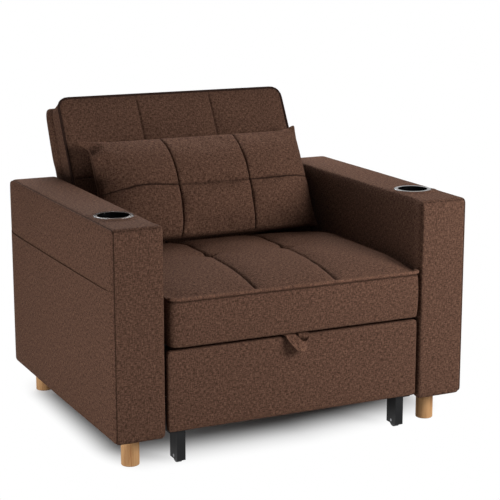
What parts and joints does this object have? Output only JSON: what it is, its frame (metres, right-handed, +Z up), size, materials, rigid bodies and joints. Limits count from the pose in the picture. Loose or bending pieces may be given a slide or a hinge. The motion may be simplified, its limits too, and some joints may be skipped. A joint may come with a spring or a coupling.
{
  "type": "convertible sleeper recliner chair",
  "caption": "Upholstered sleeper recliner with box arms, cup holders, side pockets, ratchet reclining back, loose pillow and a footrest bed that pulls out on rollers.",
  "frame": {"origin": "on the floor, at the centre of the footprint that the closed chair covers", "axes": "+X across the chair to the right seen from the front, -Y out of the front, +Z up"},
  "size_m": [0.985, 0.9131, 0.8291],
  "materials": {
    "fabric": "brown woven upholstery",
    "leg_wood": "clear lacquered light wood",
    "frame_wood": "raw plywood",
    "webbing": "elastic webbing",
    "black_steel": "black powder coat",
    "plain_steel": "zinc plated",
    "cup_liner": "gloss black",
    "cup_rim": "polished rim",
    "roller": "black nylon"
  },
  "bodies": {
    "chair": {"leg_bolts": "plain_steel", "hinge_plate_bolts": "plain_steel", "seat_bolts": "plain_steel", "rear_board": "frame_wood", "seat_frame": "frame_wood", "seat_webbing": "webbing", "seat_cushion": "fabric", "left_front_leg": "leg_wood", "left_rear_leg": "leg_wood", "left_hinge_plate": "plain_steel", "left_hinge_pin": "plain_steel", "left_seat_angle": "black_steel", "left_arm_cover": "fabric", "left_arm_frame": "frame_wood", "left_side_pocket": "fabric", "left_cup_liner": "cup_liner", "left_cup_rim": "cup_rim", "left_runner": "black_steel", "right_front_leg": "leg_wood", "right_rear_leg": "leg_wood", "right_hinge_plate": "plain_steel", "right_hinge_pin": "plain_steel", "right_seat_angle": "black_steel", "right_arm_cover": "fabric", "right_arm_frame": "frame_wood", "right_side_pocket": "fabric", "right_cup_liner": "cup_liner", "right_cup_rim": "cup_rim", "right_runner": "black_steel"},
    "back": {"back_cushion": "fabric", "back_shell": "fabric", "back_frame": "frame_wood", "left_hinge_arm": "plain_steel", "right_hinge_arm": "plain_steel", "hinge_arm_bolts": "plain_steel"},
    "pillow": {"back_pillow": "fabric"},
    "pull_out": {"front_panel_cover": "fabric", "front_panel_board": "frame_wood", "pull_tab": "fabric", "slide_shoes": "roller", "cross_bars": "black_steel", "link_pins": "plain_steel", "roller_forks": "black_steel", "roller_axles": "plain_steel", "pad_frame": "black_steel", "pad_board": "frame_wood", "pad_cushion": "fabric", "left_front_post": "black_steel", "left_base_rail": "black_steel", "left_front_link": "black_steel", "left_rear_link": "black_steel", "right_front_post": "black_steel", "right_base_rail": "black_steel", "right_front_link": "black_steel", "right_rear_link": "black_steel"},
    "left_front_roller": {"left_front_roller": "roller"},
    "left_rear_roller": {"left_rear_roller": "roller"},
    "right_front_roller": {"right_front_roller": "roller"},
    "right_rear_roller": {"right_rear_roller": "roller"}
  },
  "joints": [
    {"name": "back_recline", "type": "hinge", "parent": "chair", "child": "back", "pos_m": [0, 0.16459, 0.386], "axis": [-1, 0, 0], "range_deg": [0, 61]},
    {"name": "pillow_lift", "type": "slide", "parent": "back", "child": "pillow", "axis": [0, -0.8746, 0.4848], "range_m": [0, 0.35]},
    {"name": "pull_out_slide", "type": "slide", "parent": "chair", "child": "pull_out", "axis": [0, -1, 0], "range_m": [0, 0.69]},
    {"name": "left_front_roller_spin", "type": "hinge", "parent": "pull_out", "child": "left_front_roller", "pos_m": [-0.3135, -0.41091, 0.018], "axis": [1, 0, 0], "continuous": true},
    {"name": "left_rear_roller_spin", "type": "hinge", "parent": "pull_out", "child": "left_rear_roller", "pos_m": [-0.335, 0.24059, 0.026], "axis": [1, 0, 0], "continuous": true},
    {"name": "right_front_roller_spin", "type": "hinge", "parent": "pull_out", "child": "right_front_roller", "pos_m": [0.3135, -0.41091, 0.018], "axis": [1, 0, 0], "continuous": true},
    {"name": "right_rear_roller_spin", "type": "hinge", "parent": "pull_out", "child": "right_rear_roller", "pos_m": [0.335, 0.24059, 0.026], "axis": [1, 0, 0], "continuous": true}
  ]
}
